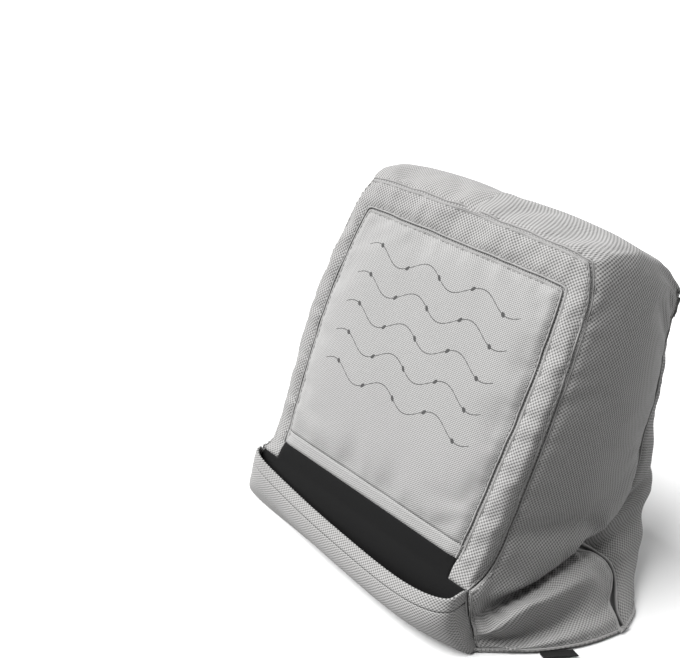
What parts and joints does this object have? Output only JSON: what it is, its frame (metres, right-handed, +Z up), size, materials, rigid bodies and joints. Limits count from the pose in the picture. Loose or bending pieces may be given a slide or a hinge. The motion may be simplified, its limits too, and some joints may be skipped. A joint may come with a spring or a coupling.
{
  "type": "tablet cushion",
  "caption": "Bead-filled sewn fabric cushion folded over its own foot to hold a tablet at a slope, with a hemmed front lip and a pocket behind its face.",
  "frame": {"origin": "middle of the flat underside of the foot, on the surface that the cushion stands on", "axes": "+X across the cushion to the viewer's right, -Y towards the side that the tablet leans on, +Z up"},
  "size_m": [0.3186, 0.2187, 0.2453],
  "materials": {
    "grey_cloth": "mid grey coarse plain-weave polyester cloth",
    "cover_cloth": "lighter grey coarse plain-weave cloth with a thin black line print",
    "black_lining": "thin black nylon lining",
    "seam_cloth": "rolled and stitched seam of the grey cloth",
    "inner_bag": "thin off-white inner bag filled with foam beads",
    "label_ribbon": "black woven ribbon, bare"
  },
  "bodies": {
    "foot": {"foot_filling": "inner_bag", "base_panel": "grey_cloth", "foot_side_left": "grey_cloth", "foot_side_right": "grey_cloth", "foot_back_panel": "grey_cloth", "trough_lining": "black_lining", "base_seam": "seam_cloth", "corner_seam_left": "seam_cloth", "corner_seam_right": "seam_cloth", "foot_back_seam_left": "seam_cloth", "foot_back_seam_right": "seam_cloth"},
    "backrest": {"backrest_filling": "inner_bag", "side_panel_left": "grey_cloth", "side_panel_right": "grey_cloth", "top_panel": "grey_cloth", "back_panel": "grey_cloth", "border_strip_left": "grey_cloth", "border_strip_right": "grey_cloth", "border_strip_top": "grey_cloth", "pocket_lining": "black_lining", "rim_seam": "seam_cloth", "back_seam": "seam_cloth", "cover_piping": "seam_cloth"},
    "cover": {"pocket_cover": "cover_cloth", "pocket_cover_hem": "cover_cloth"},
    "lip": {"lip_panel": "grey_cloth", "lip_lining": "black_lining", "lip_hem": "grey_cloth"},
    "tag": {"label": "label_ribbon"}
  },
  "joints": [
    {"name": "backrest_fold", "type": "hinge", "parent": "foot", "child": "backrest", "pos_m": [0, -0.05, 0.04], "axis": [1, 0, 0], "range_deg": [0, 22]},
    {"name": "pocket_opening", "type": "hinge", "parent": "backrest", "child": "cover", "pos_m": [0, 0.02257, 0.22042], "axis": [-1, 0, 0], "range_deg": [0, 6]},
    {"name": "lip_opening", "type": "hinge", "parent": "foot", "child": "lip", "pos_m": [0, -0.0581, 0.0008], "axis": [1, 0, 0], "range_deg": [0, 12]},
    {"name": "label_flip", "type": "hinge", "parent": "foot", "child": "tag", "pos_m": [0.1438, -0.00795, 0.0018], "axis": [-0.5269, -0.8499, 0], "range_deg": [0, 60]}
  ]
}
